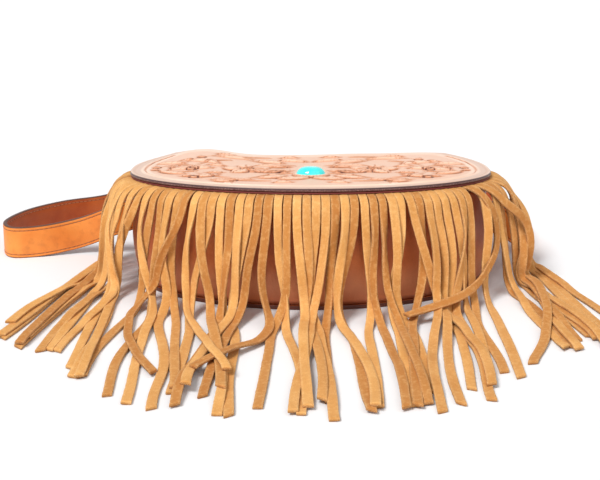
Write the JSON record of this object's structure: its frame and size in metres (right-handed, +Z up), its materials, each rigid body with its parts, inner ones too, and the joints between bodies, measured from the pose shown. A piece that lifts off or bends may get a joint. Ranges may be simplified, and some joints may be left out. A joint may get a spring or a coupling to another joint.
{
  "type": "fringed shoulder bag",
  "caption": "Half-round tooled-leather shoulder bag on its back, long suede fringe round the hinged flap's rim, turquoise stone, strap looped behind.",
  "frame": {"origin": "middle of the back panel's outer face, on the surface the bag lies on", "axes": "+X along the bag's width, to the right seen from the flap's curved rim; +Y from the curved rim to the mouth and hinge; +Z up, out of the tooled face"},
  "size_m": [0.4674, 0.4815, 0.0921],
  "materials": {
    "smooth_leather": "smooth, reddish brown",
    "tooled_leather": "carved veg-tan, pale, burnished dark rim",
    "lining_leather": "smooth, dark",
    "strap_leather": "smooth, orange tan, dark edges",
    "suede": "napped suede, golden tan",
    "turquoise": "polished stone",
    "snap_metal": "satin"
  },
  "bodies": {
    "root": {"back_panel": "smooth_leather", "front_panel": "smooth_leather", "gusset": "smooth_leather", "strap": "strap_leather", "snap_socket": "snap_metal"},
    "flap": {"flap": "tooled_leather", "flap_lining": "lining_leather", "turquoise_stone": "turquoise", "snap_stud": "snap_metal", "fringe_strip_1": "suede", "fringe_strip_2": "suede", "fringe_strip_3": "suede", "fringe_strip_4": "suede", "fringe_strip_5": "suede", "fringe_strip_6": "suede", "fringe_strip_7": "suede", "fringe_strip_8": "suede", "fringe_strip_9": "suede"}
  },
  "joints": [
    {"name": "flap_hinge", "type": "hinge", "parent": "root", "child": "flap", "pos_m": [0, 0.0878, 0.0032], "axis": [-1, 0, 0], "range_deg": [0, 90]}
  ]
}
